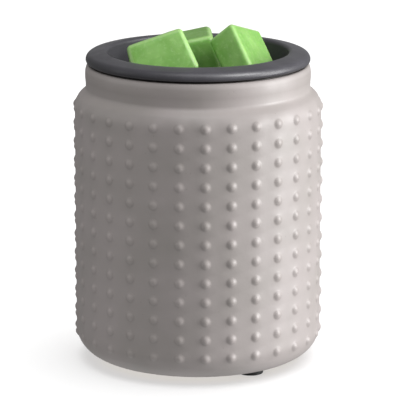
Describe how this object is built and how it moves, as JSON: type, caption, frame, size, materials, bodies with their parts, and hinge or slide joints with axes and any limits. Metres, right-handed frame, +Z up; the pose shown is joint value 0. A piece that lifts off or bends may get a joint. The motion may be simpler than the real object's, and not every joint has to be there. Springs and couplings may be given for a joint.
{
  "type": "wax warmer",
  "caption": "Electric wax warmer: a hobnailed stoneware jar with a heater in its mouth, a lift-out silicone dish and loose wax melts.",
  "frame": {"origin": "centre of the jar's axis on the plane the feet stand on", "axes": "+Z up along the jar's axis; +Y towards the back, where the cord outlet is; +X to the right"},
  "size_m": [0.106, 0.106, 0.1486],
  "materials": {
    "glaze": "satin glaze, not clear",
    "silicone": "matte",
    "wax": "waxy satin",
    "rubber": "matte",
    "cover_plastic": "fine texture",
    "housing_plastic": "matte",
    "terminal_plastic": "gloss",
    "heater_metal": "as cast",
    "steel": "zinc plated",
    "element": "oxidised",
    "mica": "flaky sheen",
    "fibre": "felted",
    "live_sleeve": "smooth",
    "neutral_sleeve": "smooth"
  },
  "bodies": {
    "warmer": {"base_cover": "cover_plastic", "block_screw": "steel", "ceramic_body": "glaze", "cord_grommet": "rubber", "element_tab_1": "steel", "element_tab_2": "steel", "foot_1": "rubber", "foot_2": "rubber", "foot_3": "rubber", "fuse_clip": "steel", "fuse_clip_screw": "steel", "fuse_lead": "live_sleeve", "heater_housing": "housing_plastic", "heater_plate": "heater_metal", "heating_element": "element", "insulation_pad": "fibre", "live_lead": "live_sleeve", "lower_nut": "steel", "lower_washer": "steel", "mica_lower": "mica", "mica_upper": "mica", "mouth_gasket": "rubber", "neutral_lead": "neutral_sleeve", "plate_screw_1": "steel", "plate_screw_2": "steel", "plate_screw_3": "steel", "pressure_plate": "steel", "pressure_screw_1": "steel", "pressure_screw_2": "steel", "pressure_screw_3": "steel", "terminal_block": "terminal_plastic", "terminal_screw_1": "steel", "terminal_screw_2": "steel", "terminal_screw_3": "steel", "terminal_screw_4": "steel", "thermal_fuse": "steel", "tie_rod": "steel", "upper_nut": "steel", "upper_washer": "steel"},
    "dish": {"silicone_dish": "silicone"},
    "left_melt": {"wax_melt_left": "wax"},
    "rear_melt": {"wax_melt_rear": "wax"},
    "right_melt": {"wax_melt_right": "wax"}
  },
  "joints": [
    {"name": "dish_lift", "type": "slide", "parent": "warmer", "child": "dish", "axis": [0, 0, 1], "range_m": [0, 0.06]},
    {"name": "left_melt_lift", "type": "slide", "parent": "dish", "child": "left_melt", "axis": [0, 0, 1], "range_m": [0, 0.05]},
    {"name": "rear_melt_lift", "type": "slide", "parent": "dish", "child": "rear_melt", "axis": [0, 0, 1], "range_m": [0, 0.05]},
    {"name": "right_melt_lift", "type": "slide", "parent": "dish", "child": "right_melt", "axis": [0, 0, 1], "range_m": [0, 0.05]}
  ]
}
